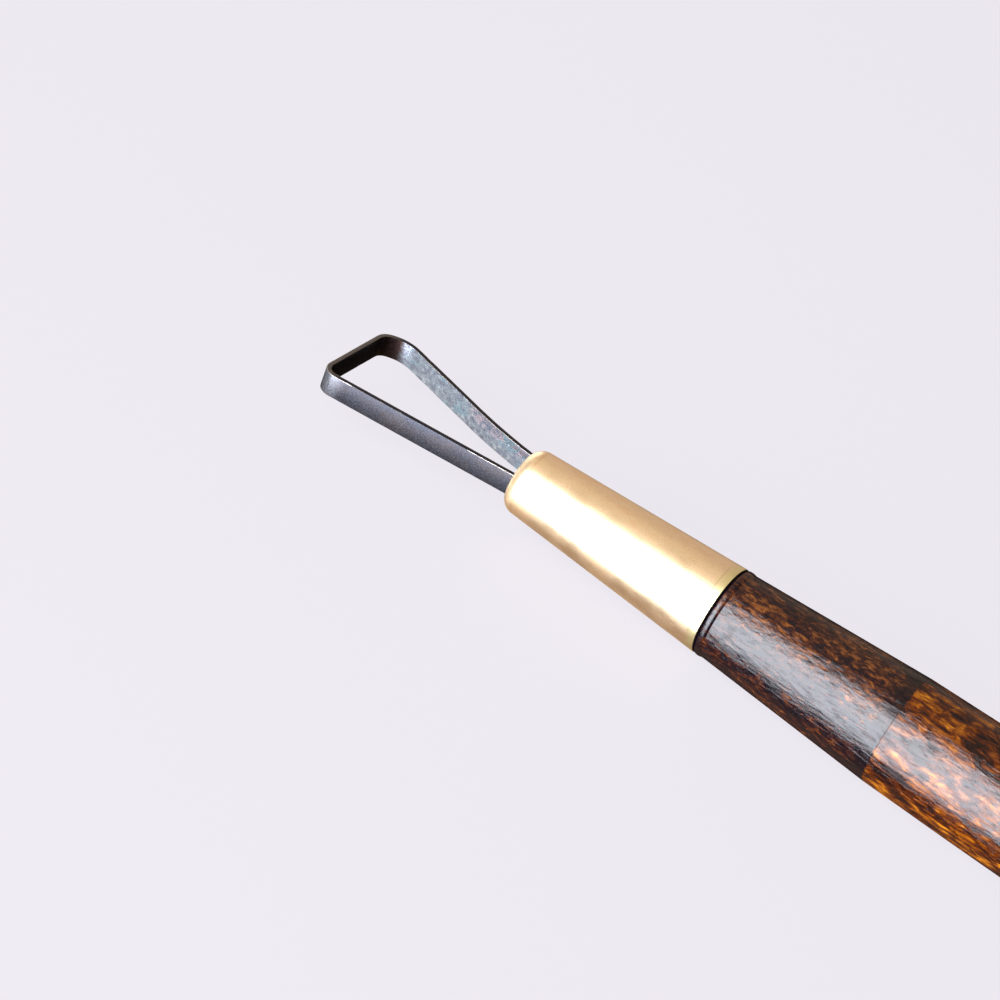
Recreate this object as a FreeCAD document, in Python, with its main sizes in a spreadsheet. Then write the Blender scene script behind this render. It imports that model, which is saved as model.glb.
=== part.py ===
import FreeCAD, Part
import math
import os

import Sketcher

# A loop carving tool, in millimetres. The tool's axis is X: the cutting loop points to +X and
# the butt of the handle to -X. The loop lies flat in the XY plane, with its near leg on the
# +Y side and its far leg on the -Y side. The origin is the middle of the cylindrical grip.

# Driving dimensions: alias, value in millimetres or degrees, and what it is.
SIZES = [
    ("grip_radius", 6.35, "radius of the straight part of the handle"),
    ("grip_length", 58, "length of the straight part of the handle"),
    ("grip_to_shoulder", 60, "from the grip's front end to the shoulder behind the ferrule"),
    ("grip_to_butt", 34.5, "from the grip's rear end to the butt's end"),
    ("butt_drop", 1.35, "how much the handle's radius falls from the grip to the butt"),
    ("butt_round", 2.4, "rounding of the butt's edge"),
    ("back_taper_length", 17, "from the grip's rear end to where the taper steepens"),
    ("back_taper_drop", 0.34, "how much the radius falls along that stretch"),
    ("front_taper_length", 22, "from the grip's front end to where the taper steepens"),
    ("front_taper_drop", 0.05, "how much the radius falls along that stretch"),
    ("crease_drop", 0.35, "how much the handle's radius falls from the grip to the crease"),
    ("crease_setback", 21, "from the shoulder back to the turned crease"),
    ("nose_inset", 0.06, "how far the wood at the shoulder lies inside the ferrule's rim"),
    ("bead_width", 0.9, "width of the small bead turned at the shoulder"),
    ("bead_height", 0.15, "height of that bead above the wood"),
    ("shoulder_gap", 0.12, "gap between the shoulder and the ferrule's rim"),
    ("tenon_length", 15, "length of the wooden tenon inside the ferrule"),
    ("tenon_clear", 0.04, "gap between the tenon and the ferrule's inner wall"),
    ("socket_depth", 12, "depth of the socket drilled in the tenon"),
    ("socket_clear", 0.25, "gap between the tangs' corners and the socket's wall"),
    ("ferrule_length", 24.75, "length of the ferrule from its rim to its lip"),
    ("ferrule_wall", 0.5, "thickness of the ferrule's sheet"),
    ("ferrule_taper", 3.04, "angle of the ferrule's wall to the tool's axis"),
    ("dome_inner_radius", 1.05, "inner radius of the turned-in nose"),
    ("dome_step", 0.15, "how far the nose is turned in at its mouth"),
    ("mouth_clear", 0.08, "gap between the legs' corners and the mouth"),
    ("ribbon_width", 2.55, "width of the steel strip"),
    ("ribbon_thickness", 0.56, "thickness of the steel strip"),
    ("loop_reach", 22.6, "from the mouth along the axis to the front of the loop's bar"),
    ("bar_tilt", 2.2, "lean of the bar, whose near end stands further forward"),
    ("near_offset", 2.21, "from the axis to the near leg's outer face at the mouth"),
    ("near_angle", 8.2, "angle of the near leg to the axis"),
    ("near_corner_radius", 1.5, "outer radius of the corner at the near leg"),
    ("far_offset", 2.63, "from the axis to the far leg's outer face at the mouth"),
    ("far_root_angle", 5, "angle of the far leg to the axis at the mouth"),
    ("far_angle", 14.85, "angle of the far leg to the axis beyond its knee"),
    ("far_corner_radius", 1.8, "outer radius of the far corner where it leaves the bar"),
    ("far_sweep_radius", 4.2, "outer radius of the far corner where it runs into the leg"),
    ("far_flat_angle", 28, "angle to the axis of the short flat between those two radii"),
    ("far_flat_length", 0.3, "length of that flat"),
    ("knee_reach", 4.45, "from the mouth to the slight knee in the far leg"),
    ("knee_radius", 50, "radius of that knee"),
    ("near_tang_inset", 0.31, "how far the near tang lies inside its leg's place at the mouth"),
    ("far_tang_inset", 0.73, "how far the far tang lies inside its leg's place at the mouth"),
    ("tang_bend_radius", 25, "radius of the bend where a leg turns into its tang"),
    ("tang_end_gap", 1, "from the tangs' ends to the socket's bottom"),
    ("wedge_front_gap", 0.8, "from the socket's mouth to the wedge's head"),
    ("wedge_back_gap", 1.6, "from the wedge's point to the socket's bottom"),
    ("wedge_side_gap", 0.1, "how far the wedge lies inside the strip's edge on each side"),
    ("wedge_chamfer", 0.45, "chamfer at the wedge's point"),
    ("resin_recess", 0.45, "how far the resin's face lies behind the ferrule's lip"),
]

# Places along the axis, counted from the origin.
SHOULDER = "sizes.grip_length / 2 + sizes.grip_to_shoulder"
RIM = f"{SHOULDER} + sizes.shoulder_gap"
MOUTH = f"{RIM} + sizes.ferrule_length"

# Lengths behind the mouth, and radii that several pieces share.
CHAMBER = "(sizes.ferrule_length + sizes.shoulder_gap - sizes.tenon_length)"
SOCKET_BOTTOM = f"({CHAMBER} + sizes.socket_depth)"
TANG_LENGTH = f"({SOCKET_BOTTOM} - sizes.tang_end_gap)"
MOUTH_RADIUS = (
    "(sqrt(max(sizes.near_offset; sizes.far_offset) ^ 2 + (sizes.ribbon_width / 2) ^ 2)"
    " + sizes.mouth_clear)"
)
NEAR_TANG = "(sizes.near_offset - sizes.near_tang_inset)"
FAR_TANG = "(sizes.far_offset - sizes.far_tang_inset)"
SOCKET_RADIUS = (
    f"(sqrt(max({NEAR_TANG}; {FAR_TANG}) ^ 2 + (sizes.ribbon_width / 2) ^ 2)"
    " + sizes.socket_clear)"
)
HALF_STRIP = "sizes.ribbon_thickness / 2"

# Sizes that the ferrule's outline works out, which the wood and the resin inside it follow.
INNER_BACK = "ferrule_outline.Constraints.inner_back_radius / 1 mm"
OUTER_BACK = "ferrule_outline.Constraints.outer_back_radius / 1 mm"
INNER_WALL_END = "ferrule_outline.Constraints.inner_wall_end / 1 mm"
INNER_LIP_END = "ferrule_outline.Constraints.inner_lip_end / 1 mm"

START, END, CENTRE = 1, 2, 3
HORIZONTAL_AXIS, VERTICAL_AXIS = -1, -2

# Lengths closer than this count as the same, in millimetres.
TOLERANCE = 0.001


def make_sheet(doc):
    """The spreadsheet with the driving dimensions."""
    sheet = doc.addObject("Spreadsheet::Sheet", "sizes")
    for row, (alias, number, note) in enumerate(SIZES, start=1):
        sheet.set(f"A{row}", alias.replace("_", " "))
        sheet.set(f"B{row}", str(number))
        sheet.set(f"C{row}", note)
        sheet.setAlias(f"B{row}", alias)
    doc.recompute()
    return sheet


def number(sheet, expression):
    """The value of an expression in the sheet's aliases."""
    found = sheet.evalExpression(expression)
    return float(getattr(found, "Value", found))


def make_body(doc, name, place):
    """A body whose own origin lies on the axis at a place given as an expression."""
    body = doc.addObject("PartDesign::Body", name)
    body.Label = name
    body.setExpression("Placement.Base.x", place)
    return body


def make_sketch(body, name, role):
    """A sketch on one of the body's own origin planes."""
    plane = next(item for item in body.Origin.OriginFeatures if item.Role == role)
    sketch = body.newObject("Sketcher::SketchObject", name)
    sketch.AttachmentSupport = [(plane, "")]
    sketch.MapMode = "FlatFace"
    return sketch


def bind(sketch, kind, geometry, expression, name=None):
    """Add a dimension to a sketch and bind it to an expression."""
    sheet = sketch.Document.getObject("sizes")
    unit = math.pi / 180 if kind == "Angle" else 1
    index = sketch.addConstraint(
        Sketcher.Constraint(kind, *geometry, number(sheet, expression) * unit)
    )
    if name:
        sketch.renameConstraint(index, name)
    degrees = " * 1 deg" if kind == "Angle" else ""
    sketch.setExpression(f"Constraints[{index}]", f"({expression}){degrees}")


def measure(sketch, kind, geometry, name):
    """Add a named dimension that only reads the sketch, for other pieces to follow."""
    index = sketch.addConstraint(Sketcher.Constraint(kind, *geometry, 0.0))
    sketch.setDriving(index, False)
    sketch.renameConstraint(index, name)


def pin_point(sketch, element, end, along, out):
    """Fix one end of an element at a place along and out from the axis."""
    for kind, axis, place in (("DistanceX", VERTICAL_AXIS, along), ("DistanceY", HORIZONTAL_AXIS, out)):
        if place == "0":
            sketch.addConstraint(Sketcher.Constraint("PointOnObject", element, end, axis))
        else:
            bind(sketch, kind, (HORIZONTAL_AXIS, START, element, end), place)


def join(sketch, first, second, kind="Coincident"):
    """Join two element ends, each given as (element, end)."""
    sketch.addConstraint(Sketcher.Constraint(kind, *first, *second))


def add_line(sketch, start, end, construction=False):
    line = Part.LineSegment(FreeCAD.Vector(*start, 0), FreeCAD.Vector(*end, 0))
    return sketch.addGeometry(line, construction)


def add_arc(sketch, centre, radius, start, end):
    """An arc that runs anticlockwise between two directions, given in radians."""
    circle = Part.Circle(FreeCAD.Vector(*centre, 0), FreeCAD.Vector(0, 0, 1), radius)
    return sketch.addGeometry(Part.ArcOfCircle(circle, start, end), False)


def add_arc_between(sketch, start, end, radius):
    """The short arc that runs anticlockwise from one point to the other."""
    run, rise = end[0] - start[0], end[1] - start[1]
    chord = math.hypot(run, rise)
    inward = math.sqrt(radius ** 2 - (chord / 2) ** 2)
    centre = (
        (start[0] + end[0]) / 2 - inward * rise / chord,
        (start[1] + end[1]) / 2 + inward * run / chord,
    )
    first = math.atan2(start[1] - centre[1], start[0] - centre[0])
    last = math.atan2(end[1] - centre[1], end[0] - centre[0])
    return add_arc(sketch, centre, radius, first, last)


def revolve(body, sketch, name):
    """Turn a closed half outline about the tool's axis."""
    turned = body.newObject("PartDesign::Revolution", name)
    turned.Profile = sketch
    turned.ReferenceAxis = (sketch, ["H_Axis"])
    turned.Angle = 360
    body.Document.recompute()
    return turned


def polar(radius, degrees):
    """The point at a distance from the origin in a direction."""
    return radius * math.cos(math.radians(degrees)), radius * math.sin(math.radians(degrees))


def crossing(first, second):
    """Where two lines meet, each given as (point, direction in degrees)."""
    (x1, y1), heading1 = first
    (x2, y2), heading2 = second
    c1, s1 = polar(1, heading1)
    c2, s2 = polar(1, heading2)
    along = ((x2 - x1) * s2 - (y2 - y1) * c2) / (c1 * s2 - s1 * c2)
    return x1 + along * c1, y1 + along * s1


def strip_corners(sheet):
    """Where the straights of the strip's centre line would meet, and the bend radius there."""
    size = {alias: number(sheet, f"sizes.{alias}") for alias, _, _ in SIZES}
    half = size["ribbon_thickness"] / 2
    back = -number(sheet, TANG_LENGTH)
    near_tang = number(sheet, NEAR_TANG) - half
    far_tang = half - number(sheet, FAR_TANG)
    near_leg = ((0, size["near_offset"] - half), size["near_angle"])
    far_root = ((0, half - size["far_offset"]), 180 - size["far_root_angle"])
    knee = crossing(far_root, ((size["knee_reach"], 0), 90))
    far_leg = (knee, 180 - size["far_angle"])
    bar = ((size["loop_reach"] - half, 0), 90 - size["bar_tilt"])
    near_radius = size["near_corner_radius"] - half
    corner_radius = size["far_corner_radius"] - half
    sweep_radius = size["far_sweep_radius"] - half

    # The far corner has two radii, so a short flat cuts off the point where bar and leg meet.
    point = crossing(bar, far_leg)
    turn_out = 90 - size["far_flat_angle"] - size["bar_tilt"]
    turn_in = size["far_flat_angle"] + size["far_angle"]
    flat = (
        corner_radius * math.tan(math.radians(turn_out / 2))
        + sweep_radius * math.tan(math.radians(turn_in / 2))
        + size["far_flat_length"]
    )
    cut = flat * math.sin(math.radians(turn_in)) / math.sin(math.radians(turn_out + turn_in))
    step = polar(cut, 90 - size["bar_tilt"])
    flat_start = (point[0] + step[0], point[1] + step[1])
    flat_end = crossing((flat_start, 180 + size["far_flat_angle"]), far_leg)
    return [
        ((back, near_tang), None),
        (crossing(near_leg, ((back, near_tang), 0)), size["tang_bend_radius"]),
        (crossing(near_leg, bar), near_radius),
        (flat_start, corner_radius),
        (flat_end, sweep_radius),
        (knee, size["knee_radius"]),
        (crossing(far_root, ((back, far_tang), 0)), size["tang_bend_radius"]),
        ((back, far_tang), None),
    ]


def draw_rounded_path(sketch, corners):
    """Straights joined by tangent arcs. Returns both lists of elements, in the path's order."""
    straights, bends, ends = [], [], []
    leave = corners[0][0]
    for (before, _), (corner, radius), (after, _) in zip(corners, corners[1:], corners[2:]):
        heading_in = math.atan2(corner[1] - before[1], corner[0] - before[0])
        heading_out = math.atan2(after[1] - corner[1], after[0] - corner[0])
        turn = math.remainder(heading_out - heading_in, 2 * math.pi)
        setback = radius * math.tan(abs(turn) / 2)
        enter = (
            corner[0] - setback * math.cos(heading_in),
            corner[1] - setback * math.sin(heading_in),
        )
        straights.append(add_line(sketch, leave, enter))
        leave = (
            corner[0] + setback * math.cos(heading_out),
            corner[1] + setback * math.sin(heading_out),
        )
        if turn > 0:
            bends.append(add_arc_between(sketch, enter, leave, radius))
            ends.append((START, END))
        else:
            bends.append(add_arc_between(sketch, leave, enter, radius))
            ends.append((END, START))
    straights.append(add_line(sketch, leave, corners[-1][0]))
    for before, bend, (first, last), after in zip(straights, bends, ends, straights[1:]):
        join(sketch, (before, END), (bend, first), "Tangent")
        join(sketch, (bend, last), (after, START), "Tangent")
    return straights, bends


def cross_axis(sketch, sheet, line, along, out):
    """Make a line, or its extension, pass through a place along and out from the axis."""
    place = FreeCAD.Vector(number(sheet, along), number(sheet, out), 0)
    point = sketch.addGeometry(Part.Point(place), True)
    pin_point(sketch, point, START, along, out)
    sketch.addConstraint(Sketcher.Constraint("PointOnObject", point, START, line))


def draw_strip_path(sketch, sheet):
    """The centre line of the bent strip: two tangs, two legs, a knee, two corners and a bar."""
    straights, bends = draw_rounded_path(sketch, strip_corners(sheet))
    near_tang, near_leg, bar, far_flat, far_leg, far_root, far_tang = straights
    bend_radii = (
        "sizes.tang_bend_radius",
        f"sizes.near_corner_radius - {HALF_STRIP}",
        f"sizes.far_corner_radius - {HALF_STRIP}",
        f"sizes.far_sweep_radius - {HALF_STRIP}",
        "sizes.knee_radius",
        "sizes.tang_bend_radius",
    )
    for bend, radius in zip(bends, bend_radii):
        bind(sketch, "Radius", (bend,), radius)
    directions = (
        (near_leg, "sizes.near_angle"),
        (bar, "-90 - sizes.bar_tilt"),
        (far_flat, "sizes.far_flat_angle - 180"),
        (far_leg, "180 - sizes.far_angle"),
        (far_root, "180 - sizes.far_root_angle"),
    )
    for line, degrees in directions:
        bind(sketch, "Angle", (line,), degrees)
    bind(sketch, "Distance", (far_flat,), "sizes.far_flat_length")
    tangs = (
        (near_tang, START, f"{NEAR_TANG} - {HALF_STRIP}"),
        (far_tang, END, f"{HALF_STRIP} - {FAR_TANG}"),
    )
    for tang, free_end, out in tangs:
        sketch.addConstraint(Sketcher.Constraint("Horizontal", tang))
        pin_point(sketch, tang, free_end, f"-{TANG_LENGTH}", out)

    # A leg's centre line crosses the mouth half a strip inside its outer face, across the slope.
    near_crossing = f"(sizes.near_offset - {HALF_STRIP} / cos(sizes.near_angle * 1 deg))"
    far_crossing = f"(sizes.far_offset - {HALF_STRIP} / cos(sizes.far_root_angle * 1 deg))"
    knee_out = f"-({far_crossing} + sizes.knee_reach * tan(sizes.far_root_angle * 1 deg))"
    cross_axis(sketch, sheet, near_leg, "0", near_crossing)
    cross_axis(sketch, sheet, far_root, "0", f"-{far_crossing}")
    cross_axis(sketch, sheet, far_leg, "sizes.knee_reach", knee_out)
    bar_middle = f"sizes.loop_reach - {HALF_STRIP} / cos(sizes.bar_tilt * 1 deg)"
    cross_axis(sketch, sheet, bar, bar_middle, "0")


def make_ribbon_loop(doc, sheet):
    """The cutting loop: one flat steel strip, bent on edge, with both ends running back as tangs."""
    body = make_body(doc, "ribbon_loop", MOUTH)
    path = make_sketch(body, "ribbon_path", "XY_Plane")
    draw_strip_path(path, sheet)

    section = make_sketch(body, "ribbon_section", "YZ_Plane")
    section.setExpression("AttachmentOffset.Base.z", f"-{TANG_LENGTH}")
    middle = number(sheet, f"{NEAR_TANG} - {HALF_STRIP}")
    thick = number(sheet, "sizes.ribbon_thickness") / 2
    high = number(sheet, "sizes.ribbon_width") / 2
    corners = [
        (middle - thick, -high),
        (middle + thick, -high),
        (middle + thick, high),
        (middle - thick, high),
    ]
    sides = [add_line(section, a, b) for a, b in zip(corners, corners[1:] + corners[:1])]
    for side, following in zip(sides, sides[1:] + sides[:1]):
        join(section, (side, END), (following, START))
    for side, direction in zip(sides, ("Horizontal", "Vertical") * 2):
        section.addConstraint(Sketcher.Constraint(direction, side))
    pin_point(section, sides[1], END, NEAR_TANG, "sizes.ribbon_width / 2")
    bind(section, "DistanceX", (sides[0], START, sides[0], END), "sizes.ribbon_thickness")
    bind(section, "DistanceY", (sides[1], START, sides[1], END), "sizes.ribbon_width")
    doc.recompute()

    strip = body.newObject("PartDesign::AdditivePipe", "ribbon_strip")
    strip.Profile = section
    strip.Spine = (path, [f"Edge{place}" for place in range(1, len(path.Shape.Edges) + 1)])
    strip.Mode = "Frenet"
    doc.recompute()
    return body


def make_ferrule(doc, sheet):
    """The brass ferrule: a tapered tube whose front is turned in to a domed nose with a mouth."""
    body = make_body(doc, "ferrule", RIM)
    outline = make_sketch(body, "ferrule_outline", "XY_Plane")
    length = number(sheet, "sizes.ferrule_length")
    wall = number(sheet, "sizes.ferrule_wall")
    taper = math.radians(number(sheet, "sizes.ferrule_taper"))
    mouth = number(sheet, MOUTH_RADIUS)
    inner = number(sheet, "sizes.dome_inner_radius")
    outer = inner + wall
    high = mouth + number(sheet, "sizes.dome_step") - inner * math.cos(taper)
    centre = (length - math.sqrt(outer ** 2 - (mouth - high) ** 2), high)
    square = math.pi / 2 - taper
    inner_end = (centre[0] + inner * math.sin(taper), centre[1] + inner * math.cos(taper))
    outer_end = (centre[0] + outer * math.sin(taper), centre[1] + outer * math.cos(taper))
    inner_back = (0, inner_end[1] + inner_end[0] * math.tan(taper))
    outer_back = (0, outer_end[1] + outer_end[0] * math.tan(taper))
    inner_lip = (centre[0] + math.sqrt(inner ** 2 - (mouth - high) ** 2), mouth)

    rim = add_line(outline, inner_back, outer_back)
    outer_wall = add_line(outline, outer_back, outer_end)
    outer_dome = add_arc(outline, centre, outer, math.asin((mouth - high) / outer), square)
    lip = add_line(outline, (length, mouth), inner_lip)
    inner_dome = add_arc(outline, centre, inner, math.asin((mouth - high) / inner), square)
    inner_wall = add_line(outline, inner_end, inner_back)

    join(outline, (rim, END), (outer_wall, START))
    join(outline, (outer_wall, END), (outer_dome, END), "Tangent")
    join(outline, (outer_dome, START), (lip, START))
    join(outline, (lip, END), (inner_dome, START))
    join(outline, (inner_dome, END), (inner_wall, START), "Tangent")
    join(outline, (inner_wall, END), (rim, START))
    join(outline, (outer_dome, CENTRE), (inner_dome, CENTRE))
    outline.addConstraint(Sketcher.Constraint("Horizontal", lip))
    outline.addConstraint(Sketcher.Constraint("Parallel", inner_wall, outer_wall))
    outline.addConstraint(Sketcher.Constraint("PointOnObject", rim, END, VERTICAL_AXIS))
    outline.addConstraint(Sketcher.Constraint("PointOnObject", rim, START, VERTICAL_AXIS))
    pin_point(outline, lip, START, "sizes.ferrule_length", MOUTH_RADIUS)
    bind(outline, "Radius", (inner_dome,), "sizes.dome_inner_radius")
    bind(outline, "Radius", (outer_dome,), "sizes.dome_inner_radius + sizes.ferrule_wall")
    bind(outline, "Angle", (outer_wall,), "-sizes.ferrule_taper")
    bind(
        outline, "DistanceY", (HORIZONTAL_AXIS, START, inner_dome, END),
        f"{MOUTH_RADIUS} + sizes.dome_step",
    )
    measure(outline, "DistanceY", (HORIZONTAL_AXIS, START, rim, START), "inner_back_radius")
    measure(outline, "DistanceY", (HORIZONTAL_AXIS, START, rim, END), "outer_back_radius")
    measure(outline, "DistanceX", (HORIZONTAL_AXIS, START, inner_dome, END), "inner_wall_end")
    measure(outline, "DistanceX", (HORIZONTAL_AXIS, START, inner_dome, START), "inner_lip_end")
    doc.recompute()
    revolve(body, outline, "ferrule_shell")
    return body


def draw_outline(sketch, sheet, places, bulges):
    """A closed outline through named places, each given as (along, out). A stretch is straight,
    or an arc that bulges away from the axis where bulges gives a radius for its first place."""
    names = list(places)
    points = {name: tuple(number(sheet, text) for text in places[name]) for name in names}
    elements = {}
    for here, there in zip(names, names[1:] + names[:1]):
        if here not in bulges:
            elements[here] = (add_line(sketch, points[here], points[there]), START, END)
            continue
        arc = add_arc_between(sketch, points[there], points[here], number(sheet, bulges[here]))
        elements[here] = (arc, END, START)
        bind(sketch, "Radius", (arc,), bulges[here])
    for here, there in zip(names, names[1:] + names[:1]):
        element, _, last = elements[here]
        following, first, _ = elements[there]
        join(sketch, (element, last), (following, first))
        pin_point(sketch, following, first, *places[there])


def make_handle(doc, sheet):
    """The turned wooden handle, with a tapered tenon in front and a socket drilled in it."""
    body = make_body(doc, "handle", SHOULDER)
    outline = make_sketch(body, "handle_outline", "XY_Plane")
    slope = "tan(sizes.ferrule_taper * 1 deg)"
    nose = f"({OUTER_BACK} - sizes.nose_inset)"
    tenon = f"({INNER_BACK} - sizes.tenon_clear + sizes.shoulder_gap * {slope})"
    grip_end = "(sizes.grip_to_shoulder + sizes.grip_length)"
    butt_end = f"({grip_end} + sizes.grip_to_butt)"
    places = {
        "butt_centre": (f"-{butt_end}", "0"),
        "butt_edge": (f"-{butt_end}", "sizes.grip_radius - sizes.butt_drop"),
        "back_taper": (
            f"-({grip_end} + sizes.back_taper_length)",
            "sizes.grip_radius - sizes.back_taper_drop",
        ),
        "grip_back": (f"-{grip_end}", "sizes.grip_radius"),
        "grip_front": ("-sizes.grip_to_shoulder", "sizes.grip_radius"),
        "front_taper": (
            "sizes.front_taper_length - sizes.grip_to_shoulder",
            "sizes.grip_radius - sizes.front_taper_drop",
        ),
        "crease": ("-sizes.crease_setback", "sizes.grip_radius - sizes.crease_drop"),
        "bead_back": ("-sizes.bead_width", nose),
        "bead_front": ("0", nose),
        "tenon_back": ("0", tenon),
        "tenon_front": ("sizes.tenon_length", f"{tenon} - sizes.tenon_length * {slope}"),
        "socket_mouth": ("sizes.tenon_length", SOCKET_RADIUS),
        "socket_bottom": ("sizes.tenon_length - sizes.socket_depth", SOCKET_RADIUS),
        "socket_centre": ("sizes.tenon_length - sizes.socket_depth", "0"),
    }
    bead_radius = "(sizes.bead_width ^ 2 / 4 + sizes.bead_height ^ 2) / (2 * sizes.bead_height)"
    draw_outline(outline, sheet, places, {"bead_back": bead_radius})
    doc.recompute()
    turning = revolve(body, outline, "handle_turning")

    back = number(sheet, f"-{butt_end}")
    edges = [
        f"Edge{place}"
        for place, edge in enumerate(turning.Shape.Edges, start=1)
        if edge.BoundBox.XMax < back + TOLERANCE and edge.BoundBox.YLength > TOLERANCE
    ]
    rounding = body.newObject("PartDesign::Fillet", "butt_rounding")
    rounding.Base = (turning, edges)
    rounding.setExpression("Radius", "sizes.butt_round")
    doc.recompute()
    return body


def make_tang_wedge(doc, sheet):
    """The hardwood wedge that fills the space between the two tangs in the socket."""
    body = make_body(doc, "tang_wedge", f"{SHOULDER} + sizes.tenon_length")
    outline = make_sketch(body, "wedge_outline", "XY_Plane")
    near = f"({NEAR_TANG} - sizes.ribbon_thickness)"
    far = f"(sizes.ribbon_thickness - {FAR_TANG})"
    point = "-(sizes.socket_depth - sizes.wedge_back_gap)"
    places = {
        "head_far": ("-sizes.wedge_front_gap", far),
        "head_near": ("-sizes.wedge_front_gap", near),
        "side_near": (f"{point} + sizes.wedge_chamfer", near),
        "point_near": (point, f"{near} - sizes.wedge_chamfer"),
        "point_far": (point, f"{far} + sizes.wedge_chamfer"),
        "side_far": (f"{point} + sizes.wedge_chamfer", far),
    }
    draw_outline(outline, sheet, places, {})
    doc.recompute()
    block = body.newObject("PartDesign::Pad", "wedge_block")
    block.Profile = outline
    block.SideType = "Symmetric"
    block.setExpression("Length", "sizes.ribbon_width - 2 * sizes.wedge_side_gap")
    doc.recompute()
    return body


def make_resin_fill(doc, sheet, ribbon, wedge):
    """The cast resin that fills the socket and the ferrule's nose around the two tangs."""
    body = make_body(doc, "resin_blank", RIM)
    outline = make_sketch(body, "resin_outline", "XY_Plane")
    tenon_front = "(sizes.tenon_length - sizes.shoulder_gap)"
    wall = f"{INNER_BACK} - {tenon_front} * tan(sizes.ferrule_taper * 1 deg)"
    face = "sizes.ferrule_length - sizes.resin_recess"
    places = {
        "face_centre": (face, "0"),
        "bottom_centre": (f"{tenon_front} - sizes.socket_depth", "0"),
        "bottom_edge": (f"{tenon_front} - sizes.socket_depth", SOCKET_RADIUS),
        "socket_mouth": (tenon_front, SOCKET_RADIUS),
        "chamber_back": (tenon_front, wall),
        "dome_back": (INNER_WALL_END, f"{MOUTH_RADIUS} + sizes.dome_step"),
        "dome_front": (INNER_LIP_END, MOUTH_RADIUS),
        "face_edge": (face, MOUTH_RADIUS),
    }
    draw_outline(outline, sheet, places, {"dome_back": "sizes.dome_inner_radius"})
    doc.recompute()
    revolve(body, outline, "resin_casting")

    set_pieces = doc.addObject("Part::MultiFuse", "set_pieces")
    set_pieces.Shapes = [ribbon, wedge]
    fill = doc.addObject("Part::Cut", "resin_fill")
    fill.Label = "resin_fill"
    fill.Base = body
    fill.Tool = set_pieces
    doc.recompute()
    return fill


def check(doc, nodes):
    """Stop if any object failed, or if a piece isn't one valid solid."""
    for item in doc.Objects:
        if "Invalid" in item.State or "Error" in item.State:
            raise RuntimeError(f"{item.Name} failed: {item.State}")
    for node in nodes:
        shape = node.Shape
        if shape.isNull() or not shape.isValid() or len(shape.Solids) != 1:
            raise RuntimeError(f"{node.Label} is not one valid solid")


def main():
    doc = FreeCAD.newDocument("loop_tool")
    sheet = make_sheet(doc)
    ribbon = make_ribbon_loop(doc, sheet)
    ferrule = make_ferrule(doc, sheet)
    handle = make_handle(doc, sheet)
    wedge = make_tang_wedge(doc, sheet)
    resin = make_resin_fill(doc, sheet, ribbon, wedge)
    nodes = [ribbon, ferrule, handle, wedge, resin]
    doc.recompute()
    check(doc, nodes)
    os.makedirs("parts", exist_ok=True)
    for node in nodes:
        node.Shape.exportStep(f"parts/{node.Label}.step")


main()
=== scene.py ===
"""A loop carving tool: a bent strip of blued steel, a brass ferrule and a turned, lacquered handle.

The tool lies along X with its loop towards +X. Lengths are metres, and sizes are given in millimetres.
"""

import math

import bmesh
import bpy
from bpy.props import FloatProperty, FloatVectorProperty, PointerProperty
from mathutils import Matrix, Quaternion, Vector, noise
from mathutils.geometry import intersect_line_line, intersect_line_sphere_2d


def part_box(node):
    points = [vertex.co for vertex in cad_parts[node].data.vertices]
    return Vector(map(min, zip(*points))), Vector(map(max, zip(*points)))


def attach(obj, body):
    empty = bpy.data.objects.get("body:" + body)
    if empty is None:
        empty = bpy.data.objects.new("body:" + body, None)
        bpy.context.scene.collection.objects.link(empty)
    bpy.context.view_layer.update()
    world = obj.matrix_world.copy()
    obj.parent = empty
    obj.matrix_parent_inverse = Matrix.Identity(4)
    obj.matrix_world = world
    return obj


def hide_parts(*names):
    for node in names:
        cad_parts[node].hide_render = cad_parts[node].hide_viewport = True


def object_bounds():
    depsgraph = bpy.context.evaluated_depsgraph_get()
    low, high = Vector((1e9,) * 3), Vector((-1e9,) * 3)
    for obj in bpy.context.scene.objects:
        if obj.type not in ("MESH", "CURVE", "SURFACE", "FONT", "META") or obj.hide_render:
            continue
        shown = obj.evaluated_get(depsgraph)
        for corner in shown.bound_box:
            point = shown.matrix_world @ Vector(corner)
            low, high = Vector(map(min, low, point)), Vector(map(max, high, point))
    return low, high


bl_info = {
    "name": "Loop carving tool",
    "version": (1, 0, 0),
    "blender": (4, 5, 0),
    "location": "3D View > Sidebar > Carving tool",
    "description": "Builds a loop carving tool around its CAD frame",
    "category": "Object",
}

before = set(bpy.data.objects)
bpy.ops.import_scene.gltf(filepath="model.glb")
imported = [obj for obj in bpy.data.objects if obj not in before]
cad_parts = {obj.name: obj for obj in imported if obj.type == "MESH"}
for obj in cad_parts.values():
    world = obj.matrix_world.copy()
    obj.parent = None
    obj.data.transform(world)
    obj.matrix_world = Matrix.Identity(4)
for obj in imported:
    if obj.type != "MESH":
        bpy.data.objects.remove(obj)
CAD_BOX = [list(corner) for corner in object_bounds()]

MM = 0.001

# Places along the axis that the CAD frame gives.
TANG_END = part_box("ribbon_loop")[0].x
RIM, LIP = (corner.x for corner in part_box("ferrule"))
RIM_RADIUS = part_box("ferrule")[1].z
BUTT, TENON_FRONT = (corner.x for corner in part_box("handle"))
GRIP_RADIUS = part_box("handle")[1].z
TABLE = CAD_BOX[0][2]

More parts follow.
